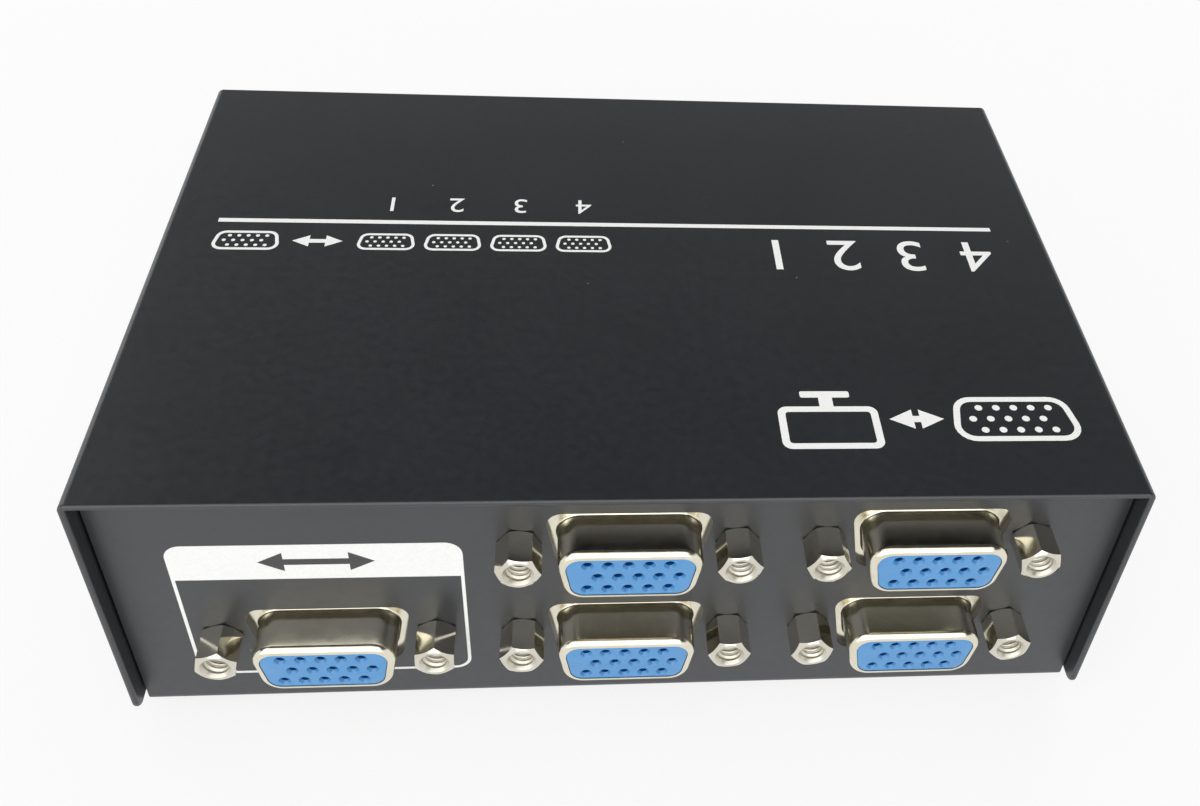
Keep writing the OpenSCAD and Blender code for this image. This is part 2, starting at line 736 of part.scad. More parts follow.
module latch_bar() {
    low = channel_floor + run;
    high = channel_z - run;
    clear = plunger_w / 2 + run;
    color("#c4c4be") difference() {
        union() {
            translate([-latch_end, latch_back, low]) cube([2 * latch_end, latch_t, high - low]);
            translate([latch_end, latch_back, switch_z - nib_w / 2]) cube([nib_len, latch_t, nib_w]);
        }
        for (k = [1:4]) at_station(k)
            translate([-clear - latch_travel, latch_back - past, -plunger_h / 2 - run])
                cube([2 * clear + latch_travel, latch_t + 2 * past, plunger_h + 2 * run]);
    }
}

module latch_spring() {
    color("#d5d5d0") translate([latch_end + snug, latch_back + latch_t / 2, switch_z]) rotate([0, 90, 0])
        helix_spring(latch_spring_r, spring_turns, latch_spring_len - 2 * snug);
}

top_cover();
bottom_tray();
cover_screws();
rubber_feet();
for (k = [0:len(ports) - 1]) {
    port_shell(k);
    port_insulator(k);
    port_contacts(k);
    port_jackscrews(k);
}
for (c = [0:len(columns) - 1]) {
    port_housing(c);
    port_bracket(c);
}
main_board();
board_standoffs();
board_screws();
switch_bracket();
switch_terminals();
for (k = [1:4]) {
    switch_body(k);
    plunger(k);
    plunger_spring(k);
    button_cap(k);
}
latch_bar();
latch_spring();
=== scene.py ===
import json
import math

import bmesh
import bpy
from mathutils import Euler, Matrix, Vector


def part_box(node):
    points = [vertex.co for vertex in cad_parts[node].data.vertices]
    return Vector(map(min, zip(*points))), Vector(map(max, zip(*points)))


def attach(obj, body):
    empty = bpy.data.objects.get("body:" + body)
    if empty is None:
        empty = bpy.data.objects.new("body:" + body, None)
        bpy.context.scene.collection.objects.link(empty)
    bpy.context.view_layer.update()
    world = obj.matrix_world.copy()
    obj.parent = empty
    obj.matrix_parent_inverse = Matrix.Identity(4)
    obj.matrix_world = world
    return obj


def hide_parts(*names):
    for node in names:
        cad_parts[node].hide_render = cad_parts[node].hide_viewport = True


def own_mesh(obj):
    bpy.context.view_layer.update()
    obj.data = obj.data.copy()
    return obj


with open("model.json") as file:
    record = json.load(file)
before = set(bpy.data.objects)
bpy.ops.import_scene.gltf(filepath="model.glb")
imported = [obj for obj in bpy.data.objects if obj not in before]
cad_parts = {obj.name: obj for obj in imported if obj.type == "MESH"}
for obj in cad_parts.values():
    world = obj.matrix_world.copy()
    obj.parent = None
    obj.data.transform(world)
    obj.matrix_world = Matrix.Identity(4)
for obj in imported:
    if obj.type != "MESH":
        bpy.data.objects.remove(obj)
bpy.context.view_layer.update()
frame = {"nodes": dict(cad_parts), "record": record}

# Looks of a passive four-way video switch: black powder-coated case, nickel-plated
# sockets with blue mouldings, white print. Sizes are millimetres until pieces are made of
# them, apart from those of the stage, which are metres. Angles are degrees.

MM = 0.001
NODES = frame["nodes"]
PORTS = ["common_port", "port_1", "port_2", "port_3", "port_4"]
BUTTONS = (1, 2, 3, 4)

# Camera, as the photograph was taken
CAMERA_PLACE = (-6.61, -136.90, 146.10)
CAMERA_TURN = (48.108, -4.421, -4.860)
CAMERA_LENS = 39.06
CAMERA_SENSOR = 36
CAMERA_SHIFT = (-0.1011, -0.0298)
CAMERA_NEAR = 10

# Outer faces of the case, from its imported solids, and the thickness of its sheet
SOCKET_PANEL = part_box("bottom_tray")[0].y / MM
BUTTON_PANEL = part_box("bottom_tray")[1].y / MM
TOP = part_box("top_cover")[1].z / MM
SHEET = 0.8

# Points nearer than this are one
WELD = 1e-4

# Steps of round stretches: a whole ring, a corner, a corner of a socket's D and an edge
RING_STEPS = 48
CORNER_STEPS = 8
D_STEPS = 10
EDGE_STEPS = 3

# Cover, folded from a flat blank
COVER_BEND = 0.15
COVER_EDGE = 0.34
COVER_CORNER = 1.5
BEND_CUTS = 10
SCREW_HOLE_R = 1.7
SCREW_HEAD_R = 2.75

# Drawn socket shell
SHELL_W = 16.33
SHELL_H = 7.9
SHELL_CORNER = 2.6
SHELL_SLOPE = 10
SHELL_T = 0.4
LIP_R = 0.9
LIP_STEPS = 10
ROOT_R = 0.3
SHELL_REACH = 5.94
FLANGE_W = 30.79
FLANGE_H = 12.5
FLANGE_CORNER = 1.2
FLANGE_HOLE_R = 1.57
JACK_PITCH = 24.99

# Moulded insert with its fifteen funnel-mouthed holes; the middle of its broken front edge
# lies in by a share of the edge's width
SNUG = 0.05
INSERT_EDGE = 0.1
EDGE_MIDDLE = 0.3
CONTACT_PITCH = 2.29
ROW_CONTACTS = 5
ROW_PITCH = 1.98
ROW_SHIFTS = (-0.265, 0.88, -0.265)
PIN_HOLE_R = 0.58
HOLE_STEPS = 32
NECK_R = 0.46
NECK_DEPTH = 1.4
FUNNEL_R = 0.67
FUNNEL_DEPTH = 0.42
FUNNEL_ROUND = 0.08
FUNNEL_STEPS = 5
BLOCK_W = 19.19
BLOCK_H = 10.6
BLOCK_D = 5.5

# Screw locks and the thread in their bores; rim and foot are shares of half the width
HEX_AF = 4.55
HEX_LEN = 4.55
HEX_CHAMFER = 30
HEX_RIM = 0.92
HEX_FOOT = 0.97
HEX_EDGE = 0.1
HEX_COLUMNS = 72
STUD_R = 1.42
STUD_LEN = 4.0
STUD_TIP_R = 1.136
STUD_TIP_LEN = 0.4
BORE_R = 1.13
BORE_DEPTH = 3.6
MOUTH_R = 1.78
THREAD_R = 1.44
THREAD_PITCH = 0.635
THREAD_ROWS = 96
HEX_TURN = {
    "common_port": (18, 28),
    "port_1": (-7, 7),
    "port_2": (-6, 1),
    "port_3": (-2, 41),
    "port_4": (13, 18),
}

# Coil springs of the buttons and the latch bar, with a closed turn at each end
WIRE = 0.4
WIRE_STEPS = 12
SPRING_TURNS = 6
OPEN_TURNS = SPRING_TURNS - 2
CLOSED_PITCH = 0.42
TURN_STEPS = 32

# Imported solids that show: the width of their broken edges, what is welded before they are
# broken, and the turn under which faces are taken as one
EDGES = {"bottom_tray": 0.15, "cover_screws": 0.06}
EDGES |= {"button_cap_%d" % k: 0.25 for k in BUTTONS}
SOLID_WELD = 0.001
SOLID_FLAT = 1

# White print: how far it stands proud of the paint and sinks into it
INK_T = 0.02
INK_SUNK = 0.01

# Signs of sockets, drawn at full size and then scaled
DOT_R = 0.5
DOT_STEPS = 16
SIGN_STEPS = 6

# Frame round the common socket, with heights over the floor
FRAME_HALF = 16.3
FRAME_LOW = 7.6
FRAME_HIGH = 31.45
FRAME_LINE = 0.4
FRAME_CORNER = 2.0
BAND_LOW = 25.55

# Print on the lid as it is read from the button side, from the lid's middle
RULE = (-52.1, -8.9, 52.9, -8.1)
SMALL_SIGNS_Y = -4.1
SMALL_COMMON_X = 48.6
SMALL_ARROW_X = 39.6
SMALL_FIRST_X = 30.8
SMALL_PITCH = 8.6
SMALL_NUMBER_Y = -12.8
SMALL_NUMBER = 4.6
LARGE_SIGNS_Y = 29.6
LARGE_SCREEN_X = -23.4
LARGE_ARROW_X = -33.9
LARGE_SOCKET_X = -45.9
LARGE_FIRST_X = -21
LARGE_PITCH = 9.2
LARGE_NUMBER_Y = -2.6
LARGE_NUMBER = 9.5

# Numbers over the buttons
BUTTON_NUMBER = 5.0
BUTTON_NUMBER_RISE = 4.2

# Stage: the floor whitens out over distances from the middle, and the white walls end at
# heights that are sines of an elevation
FLOOR_SIZE = 3.0
FLOOR_DROP = 0.00002
PAPER = (0.9, 0.9, 0.9, 1)
WHITE = (1, 1, 1, 1)
WHITEN_OVER = (0.15, 0.6)
WHITE_SHARE = (0.82, 1.0)
PLAIN_LIGHT = 0.2
WALL_END = (0.3, 0.42)
WALL_TO_CEILING = (1.0, 0.05)
AIM = (0, 0, 0.02)

# Range in which most of a noise lies
NOISE_RANGE = (0.3, 0.7)

# Places of the sockets on a node that mixes colours
MIX_SHARE = 0
MIX_FIRST = 6
MIX_SECOND = 7
MIX_RESULT = 2


# Shader nodes

def srgb(code):
    """Linear colour of a six-digit sRGB code."""
    levels = [int(code[i:i + 2], 16) / 255 for i in (0, 2, 4)]
    linear = [c / 12.92 if c <= 0.04045 else ((c + 0.055) / 1.055) ** 2.4 for c in levels]
    return (*linear, 1.0)


def shader_of(material):
    return material.node_tree.nodes["Principled BSDF"]


def base(name, colour, roughness, metallic=0.0, specular=0.5):
    """A material with one Principled shader."""
    material = bpy.data.materials.new(name)
    material.use_nodes = True
    shader = shader_of(material)
    shader.inputs["Base Color"].default_value = srgb(colour)
    shader.inputs["Roughness"].default_value = roughness
    shader.inputs["Metallic"].default_value = metallic
    shader.inputs["Specular IOR Level"].default_value = specular
    return material


def add_node(material, kind, **settings):
    node = material.node_tree.nodes.new(kind)
    for key, value in settings.items():
        setattr(node, key, value)
    return node


def mapped(tree, value, source, target):
    """A value's source range spread over a target range."""
    node = tree.nodes.new("ShaderNodeMapRange")
    for end, number in zip(("From Min", "From Max", "To Min", "To Max"), source + target):
        node.inputs[end].default_value = number
    tree.links.new(value, node.inputs["Value"])
    return node.outputs["Result"]


def place_of(material):
    """The surface point, in metres, before the piece moves."""
    found = material.node_tree.nodes.get("place")
    return (found or add_node(material, "ShaderNodeTexCoord", name="place")).outputs["Object"]


def noise(material, grain_mm, detail, stretch=(1, 1, 1)):
    """Noise whose lumps are about grain_mm across, drawn out along an axis by a low stretch."""
    links = material.node_tree.links
    mapping = add_node(material, "ShaderNodeMapping")
    mapping.inputs["Scale"].default_value = stretch
    links.new(place_of(material), mapping.inputs["Vector"])
    texture = add_node(material, "ShaderNodeTexNoise")
    texture.inputs["Scale"].default_value = 1 / (grain_mm * MM)
    texture.inputs["Detail"].default_value = detail
    links.new(mapping.outputs["Vector"], texture.inputs["Vector"])
    return texture.outputs["Fac"]


def mottle(material, first, second, grain_mm, detail=3.0):
    """Base colour that drifts between two colours."""
    links = material.node_tree.links
    ramp = add_node(material, "ShaderNodeValToRGB")
    for i, colour in enumerate((first, second)):
        ramp.color_ramp.elements[i].position = NOISE_RANGE[i]
        ramp.color_ramp.elements[i].color = srgb(colour)
    links.new(noise(material, grain_mm, detail), ramp.inputs["Fac"])
    links.new(ramp.outputs["Color"], shader_of(material).inputs["Base Color"])


def vary_roughness(material, low, high, grain_mm, detail=4.0):
    """Roughness that drifts between a low and a high value."""
    drift = mapped(material.node_tree, noise(material, grain_mm, detail), NOISE_RANGE, (low, high))
    material.node_tree.links.new(drift, shader_of(material).inputs["Roughness"])


def relief(material, grain_mm, depth_mm, strength, detail=2.0, stretch=(1, 1, 1)):
    """Bumps of about a size, over any that are there already."""
    links = material.node_tree.links
    target = shader_of(material).inputs["Normal"]
    height = noise(material, grain_mm, detail, stretch)
    bump = add_node(material, "ShaderNodeBump")
    bump.inputs["Strength"].default_value = strength
    bump.inputs["Distance"].default_value = depth_mm * MM
    if target.is_linked:
        links.new(target.links[0].from_socket, bump.inputs["Normal"])
    links.new(height, bump.inputs["Height"])
    links.new(bump.outputs["Normal"], target)


def specks(material, spacing_mm, radius_mm, share, colour):
    """Scattered dust: small round dots in a share of the cells of a grid."""
    links = material.node_tree.links
    cells = add_node(material, "ShaderNodeTexVoronoi")
    cells.inputs["Scale"].default_value = 1 / (spacing_mm * MM)
    links.new(place_of(material), cells.inputs["Vector"])
    near = add_node(material, "ShaderNodeMath", operation="LESS_THAN")
    near.inputs[1].default_value = radius_mm / spacing_mm
    links.new(cells.outputs["Distance"], near.inputs[0])
    pick = add_node(material, "ShaderNodeSeparateColor")
    links.new(cells.outputs["Color"], pick.inputs["Color"])
    chosen = add_node(material, "ShaderNodeMath", operation="LESS_THAN")
    chosen.inputs[1].default_value = share
    links.new(pick.outputs["Red"], chosen.inputs[0])
    both = add_node(material, "ShaderNodeMath", operation="MULTIPLY")
    links.new(near.outputs[0], both.inputs[0])
    links.new(chosen.outputs[0], both.inputs[1])
    mix = add_node(material, "ShaderNodeMix", data_type="RGBA")
    target = shader_of(material).inputs["Base Color"]
    links.new(target.links[0].from_socket, mix.inputs[MIX_FIRST])
    mix.inputs[MIX_SECOND].default_value = srgb(colour)
    links.new(both.outputs[0], mix.inputs[MIX_SHARE])
    links.new(mix.outputs[MIX_RESULT], target)


# Materials

def powder_coat():
    material = base("powder_coat", "1d2026", roughness=0.4, specular=0.95)
    mottle(material, "1d1f23", "212327", grain_mm=18)
    vary_roughness(material, 0.36, 0.44, grain_mm=1.2)
    relief(material, grain_mm=0.35, depth_mm=0.02, strength=0.35)
    relief(material, grain_mm=0.08, depth_mm=0.006, strength=0.4)
    specks(material, spacing_mm=4.5, radius_mm=0.09, share=0.35, colour="9a9a98")
    return material


def white_ink():
    material = base("white_ink", "f4f4f1", roughness=0.55, specular=0.3)
    mottle(material, "f2f2ef", "f8f8f6", grain_mm=0.3)
    relief(material, grain_mm=0.2, depth_mm=0.01, strength=0.2)
    return material


def nickel(name, first, second, shine, dull):
    """Plating over a drawn or turned surface, between a shiny and a dull roughness."""
    material = base(name, first, shine, metallic=1.0)
    mottle(material, first, second, grain_mm=3)
    vary_roughness(material, shine, dull, grain_mm=1.5)
    relief(material, grain_mm=0.2, depth_mm=0.002, strength=0.1)
    return material


def zinc_steel():
    material = base("zinc_steel", "b9bbbb", roughness=0.34, metallic=1.0)
    mottle(material, "a9adaf", "c6c6c2", grain_mm=2.5, detail=4.0)
    vary_roughness(material, 0.26, 0.45, grain_mm=1.5)
    return material


def spring_steel():
    material = base("spring_steel", "a4a5a6", roughness=0.25, metallic=1.0)
    vary_roughness(material, 0.18, 0.34, grain_mm=0.8)
    return material


def black_oxide():
    material = base("black_oxide", "26272a", roughness=0.38, specular=0.45)
    mottle(material, "222326", "2d2e31", grain_mm=1.0)
    vary_roughness(material, 0.3, 0.48, grain_mm=0.6)
    relief(material, grain_mm=0.15, depth_mm=0.008, strength=0.3)
    return material


def contact_brass():
    material = base("contact_brass", "c9a24a", roughness=0.28, metallic=1.0)
    mottle(material, "b98f3c", "d3b062", grain_mm=0.8)
    vary_roughness(material, 0.22, 0.36, grain_mm=0.5)
    return material


def moulding(name, first, second, roughness, specular=0.45):
    """Moulded plastic with a faint sparked texture."""
    material = base(name, first, roughness, specular=specular)
    mottle(material, first, second, grain_mm=2.5)
    vary_roughness(material, roughness - 0.06, roughness + 0.06, grain_mm=0.8)
    relief(material, grain_mm=0.12, depth_mm=0.006, strength=0.35)
    return material


def rubber():
    material = base("rubber", "1c1c1d", roughness=0.85, specular=0.25)
    mottle(material, "191919", "242424", grain_mm=1.5)
    relief(material, grain_mm=0.25, depth_mm=0.03, strength=0.5, detail=3.0)
    return material


def circuit_board():
    material = base("circuit_board", "1f5a34", roughness=0.35, specular=0.5)
    mottle(material, "1a4d2c", "246a3e", grain_mm=3.0)
    relief(material, grain_mm=0.6, depth_mm=0.01, strength=0.4, detail=1.0, stretch=(1, 0.2, 1))
    return material


PAINT = powder_coat()
INK = white_ink()
DRAWN_NICKEL = nickel("drawn_nickel", "dfd9c4", "e9e4d3", shine=0.15, dull=0.24)
TURNED_NICKEL = nickel("turned_nickel", "d2cebf", "dcd8cb", shine=0.08, dull=0.15)
CUT_NICKEL = nickel("cut_nickel", "cdc9bb", "d8d4c8", shine=0.34, dull=0.46)
BLUE = moulding("blue_moulding", "4a8fc9", "5095cf", roughness=0.16, specular=0.75)
specks(BLUE, spacing_mm=1.7, radius_mm=0.05, share=0.3, colour="a9cdea")
# Darker blue for the walls of the contact holes behind their funnels: painted shade in the bores
BLUE_PAINTED_SHADE = moulding("blue_moulding_painted_shade_in_holes", "075394", "09589b", roughness=0.5)
FINISHES = {
    "case": PAINT,
    "black_screw": black_oxide(),
    "rubber": rubber(),
    "nickel": DRAWN_NICKEL,
    "blue_moulding": BLUE,
    "contact_brass": contact_brass(),
    "black_moulding": moulding("black_moulding", "1d1e20", "26272a", roughness=0.5),
    "zinc_steel": zinc_steel(),
    "board": circuit_board(),
    "white_moulding": moulding("white_moulding", "dcdad2", "e6e4dd", roughness=0.45),
    "spring_steel": spring_steel(),
    "cap_plastic": moulding("cap_plastic", "35363a", "3b3c40", roughness=0.38, specular=0.6),
}


# Pieces

def add_piece(name, shape, material, crease=30):
    """A new object from a bmesh in millimetres, smooth between creases, riding on the case."""
    bmesh.ops.remove_doubles(shape, verts=shape.verts, dist=WELD)
    bmesh.ops.recalc_face_normals(shape, faces=shape.faces)
    bmesh.ops.scale(shape, vec=(MM, MM, MM), verts=shape.verts)
    mesh = bpy.data.meshes.new(name)
    shape.to_mesh(mesh)
    shape.free()
    mesh.shade_smooth()
    mesh.set_sharp_from_angle(angle=math.radians(crease))
    mesh.materials.append(material)
    piece = bpy.data.objects.new(name, mesh)
    bpy.context.scene.collection.objects.link(piece)
    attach(piece, "case")
    return piece


def loft(shape, rings):
    """Quads between closed rings of as many points each."""
    rows = [[shape.verts.new(p) for p in ring] for ring in rings]
    for low, high in zip(rows, rows[1:]):
        for i in range(len(low)):
            j = (i + 1) % len(low)
            shape.faces.new((low[i], low[j], high[j], high[i]))
    return rows


def capped_loft(shape, rings):
    """A loft with a face at each end."""
    rows = loft(shape, rings)
    shape.faces.new(rows[0])
    shape.faces.new(rows[-1])
    return rows


def use_second_material(rows):
    """Faces that meet any of these rows of vertices take the piece's second material."""
    for row in rows:
        for vertex in row:
            for face in vertex.link_faces:
                face.material_index = 1


def arc(centre, radius, start, end, steps):
    """Points of an arc between two angles."""
    turns = [math.radians(start + (end - start) * i / steps) for i in range(steps + 1)]
    return [(centre[0] + radius * math.cos(t), centre[1] + radius * math.sin(t)) for t in turns]


def ring_of(centre, radius, steps=RING_STEPS):
    return arc(centre, radius, 0, 360, steps)[:-1]


def rounded_box(left, low, right, high, radius):
    """Outline of a box; a corner radius for all or one for each, from the lower left on."""
    radii = radius if isinstance(radius, tuple) else (radius,) * 4
    corners = [(left, low), (right, low), (right, high), (left, high)]
    inward = [(1, 1), (-1, 1), (-1, -1), (1, -1)]
    points = []
    for i, (corner, way, r) in enumerate(zip(corners, inward, radii)):
        centre = (corner[0] + way[0] * r, corner[1] + way[1] * r)
        points += arc(centre, r, 180 + 90 * i, 270 + 90 * i, CORNER_STEPS) if r else [corner]
    return points


def d_outline(grow, width=SHELL_W, height=SHELL_H, corner=SHELL_CORNER, steps=D_STEPS):
    """Outline of the socket's D, wide side up, grown evenly all round."""
    top = width / 2 - corner
    rise = height / 2 - corner
    low = top - 2 * rise * math.tan(math.radians(SHELL_SLOPE))
    centres = [(top, rise), (-top, rise), (-low, -rise), (low, -rise)]
    starts = [-SHELL_SLOPE, 90, 180 + SHELL_SLOPE, 270]
    ends = [90, 180 + SHELL_SLOPE, 270, 360 - SHELL_SLOPE]
    points = []
    for centre, start, end in zip(centres, starts, ends):
        points += arc(centre, corner + grow, start, end, steps)
    return points


def filled(shape, loops, place, thick=0.0, edge=0.0):
    """Flat face, or plate of a thickness about its plane with round edges, within closed outlines.

    Inner outlines are holes; where edges are round, they run clockwise."""
    curve = bpy.data.curves.new("outline", "CURVE")
    curve.dimensions = "2D"
    curve.fill_mode = "BOTH"
    curve.extrude = thick / 2 - edge
    curve.bevel_depth = edge
    curve.bevel_resolution = EDGE_STEPS
    curve.offset = -edge
    for loop in loops:
        spline = curve.splines.new("POLY")
        spline.points.add(len(loop) - 1)
        for point, (x, y) in zip(spline.points, loop):
            point.co = (x, y, 0, 1)
        spline.use_cyclic_u = True
    add_curve(shape, curve, place)


def add_curve(shape, curve, place):
    """The mesh of a filled curve or text, put in place and added to a shape."""
    holder = bpy.data.objects.new("outline", curve)
    bpy.context.scene.collection.objects.link(holder)
    depsgraph = bpy.context.evaluated_depsgraph_get()
    mesh = bpy.data.meshes.new_from_object(holder.evaluated_get(depsgraph))
    mesh.transform(place)
    shape.from_mesh(mesh)
    bpy.data.objects.remove(holder)
    bpy.data.meshes.remove(mesh)


def lifted(height):
    """Matrix that lifts a drawing off its plane."""
    return Matrix.Translation((0, 0, height))


def at_height(place, outline, height):
    """An outline's points lifted off its drawing plane."""
    return [place @ Vector((x, y, height)) for x, y in outline]


def facing(origin, across, up):
    """Matrix that lays a flat drawing on a face: its x runs across, its y up."""
    x = Vector(across)
    y = Vector(up)
    z = x.cross(y)
    turn = Matrix((x, y, z)).transposed().to_4x4()
    return Matrix.Translation(Vector(origin)) @ turn


def round_edges(piece, width, segments, least_angle):
    """Edges that turn by more than an angle rounded to a width."""
    edge = piece.modifiers.new("edge", "BEVEL")
    edge.width = width * MM
    edge.segments = segments
    edge.limit_method = "ANGLE"
    edge.angle_limit = math.radians(least_angle)


def even_normals(piece):
    """Large faces keep their own normals, so that only the rounded edges are shaded round."""
    smooth = piece.modifiers.new("smooth", "WEIGHTED_NORMAL")
    smooth.weight = 100
    smooth.keep_sharp = True


# Cover

def folded_cover():
    """Cover folded from one flat blank, with rounded edges, round lower corners and screw holes."""
    low, high = [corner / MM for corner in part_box("top_cover")]
    heads_low, heads_high = [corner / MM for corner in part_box("cover_screws")]
    middle = COVER_BEND + SHEET / 2
    bend_out = COVER_BEND + SHEET
    flat = high.x - bend_out
    turn = middle * math.pi / 2
    half = flat + turn + high.z - low.z - bend_out

    def fold(point):
        """Place of a blank's point on the folded sheet; its z runs outward from the sheet's middle."""
        along = abs(point.x) - flat
        if along <= 0:
            return Vector((point.x, point.y, high.z - SHEET / 2 + point.z))
        angle = min(along, turn) / middle
        reach = middle + point.z
        x = flat + reach * math.sin(angle)
        z = high.z - bend_out + reach * math.cos(angle) - max(0, along - turn)
        return Vector((math.copysign(x, point.x), point.y, z))

    screw_x = flat + turn + high.z - bend_out - (heads_low.z + heads_high.z) / 2
    screw_y = heads_high.y - SCREW_HEAD_R
    loops = [rounded_box(-half, low.y, half, high.y, COVER_CORNER)]
    for side in (-1, 1):
        for end in (-1, 1):
            loops.append(ring_of((side * screw_x, end * screw_y), SCREW_HOLE_R)[::-1])
    shape = bmesh.new()
    filled(shape, loops, Matrix(), SHEET, COVER_EDGE)
    bmesh.ops.remove_doubles(shape, verts=shape.verts, dist=WELD)
    for side in (-1, 1):
        for i in range(BEND_CUTS + 1):
            cut = side * (flat + turn * i / BEND_CUTS)
            everything = shape.verts[:] + shape.edges[:] + shape.faces[:]
            bmesh.ops.bisect_plane(shape, geom=everything, plane_co=(cut, 0, 0), plane_no=(1, 0, 0))
    for vertex in shape.verts:
        vertex.co = fold(vertex.co)
    piece = add_piece("folded_cover", shape, PAINT, crease=40)
    even_normals(piece)
    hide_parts("top_cover")


# Sockets

def port_middle(port):
    """Middle of a socket's D on the panel's outer face, from its packed shell."""
    low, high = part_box(port + "_shell")
    return Vector(((low.x + high.x) / 2 / MM, SOCKET_PANEL, (low.z + high.z) / 2 / MM))


def port_face(port):
    """Drawing plane of a socket on its flange's front, seen from outside: x right, y up, z out."""
    middle = port_middle(port)
    return facing((middle.x, SOCKET_PANEL + SHEET, middle.z), (1, 0, 0), (0, 0, 1))


def drawn_shell(port):
    """Flange and D-shaped wall drawn from one sheet, with a rolled lip."""
    place = port_face(port)
    root = (ROOT_R, ROOT_R)
    lip = (-LIP_R, SHELL_REACH - LIP_R)
    profile = arc(root, ROOT_R, 270, 180, CORNER_STEPS)
    profile += arc(lip, LIP_R, 0, 90, LIP_STEPS)
    profile += arc(lip, LIP_R - SHELL_T, 90, 0, CORNER_STEPS)
    profile += arc(root, ROOT_R + SHELL_T, 180, 270, CORNER_STEPS)
    shape = bmesh.new()
    loft(shape, [at_height(place, d_outline(grow), height) for grow, height in profile])
    outer = rounded_box(-FLANGE_W / 2, -FLANGE_H / 2, FLANGE_W / 2, FLANGE_H / 2, FLANGE_CORNER)
    rims = [outer] + [ring_of((s * JACK_PITCH / 2, 0), FLANGE_HOLE_R) for s in (-1, 1)]
    for rim in rims:
        loft(shape, [at_height(place, rim, 0), at_height(place, rim, -SHELL_T)])
    for height in (0, -SHELL_T):
        filled(shape, rims + [d_outline(ROOT_R)], place @ lifted(height))
    piece = add_piece(port + "_drawn_shell", shape, DRAWN_NICKEL)
    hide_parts(port + "_shell")


def contact_places():
    """Middles of the fifteen contact holes on a socket's face."""
    first = -(ROW_CONTACTS - 1) / 2
    places = []
    for row, shift in enumerate(ROW_SHIFTS):
        y = (1 - row) * ROW_PITCH
        places += [(shift + (first + i) * CONTACT_PITCH, y) for i in range(ROW_CONTACTS)]
    return places


def moulded_insert(port):
    """Blue moulding that fills the shell, with a broken front edge, and its block behind the flange."""
    place = port_face(port)
    mouth = SHELL_REACH - SNUG
    step = SHELL_REACH - LIP_R
    back = -SHELL_T - SNUG
    neck = -LIP_R - SNUG
    bulk = -SHELL_T - SNUG
    front = neck - INSERT_EDGE
    within = INSERT_EDGE * EDGE_MIDDLE
    shape = bmesh.new()
    profile = [(front, mouth), (neck - within, mouth - within), (neck, mouth - INSERT_EDGE)]
    profile += [(neck, step), (bulk, step), (bulk, back)]
    loft(shape, [at_height(place, d_outline(grow), height) for grow, height in profile])
    slope = math.degrees(math.atan2(FUNNEL_DEPTH, FUNNEL_R - NECK_R))
    lip = (FUNNEL_R + FUNNEL_ROUND, mouth - FUNNEL_ROUND)
    funnel = arc(lip, FUNNEL_ROUND, 90, 90 + slope, FUNNEL_STEPS)
    funnel.append((NECK_R, mouth - FUNNEL_DEPTH))
    neck_end = mouth - NECK_DEPTH
    bore = [funnel[-1], (NECK_R, neck_end), (PIN_HOLE_R, neck_end), (PIN_HOLE_R, back)]

    def hole(middle, radii):
        """Walls of a round hole, from its radii and their heights."""
        rings = [at_height(place, ring_of(middle, r, HOLE_STEPS), height) for r, height in radii]
        return loft(shape, rings)

    for middle in contact_places():
        hole(middle, funnel)
        # The bore walls behind each funnel take the darker blue, which is painted shade
        use_second_material(hole(middle, bore)[1:])
    mouths = [ring_of(middle, funnel[0][0], HOLE_STEPS) for middle in contact_places()]
    bores = [ring_of(middle, PIN_HOLE_R, HOLE_STEPS) for middle in contact_places()]
    filled(shape, [d_outline(front)] + mouths, place @ lifted(mouth))
    filled(shape, [d_outline(bulk)] + bores, place @ lifted(back))
    block = rounded_box(-BLOCK_W / 2, -BLOCK_H / 2, BLOCK_W / 2, BLOCK_H / 2, FLANGE_CORNER)
    filled(shape, [block] + bores, place @ lifted(back - SNUG - BLOCK_D / 2), BLOCK_D - SNUG)
    piece = add_piece(port + "_insert", shape, BLUE)
    piece.data.materials.append(BLUE_PAINTED_SHADE)
    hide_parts(port + "_insulator")


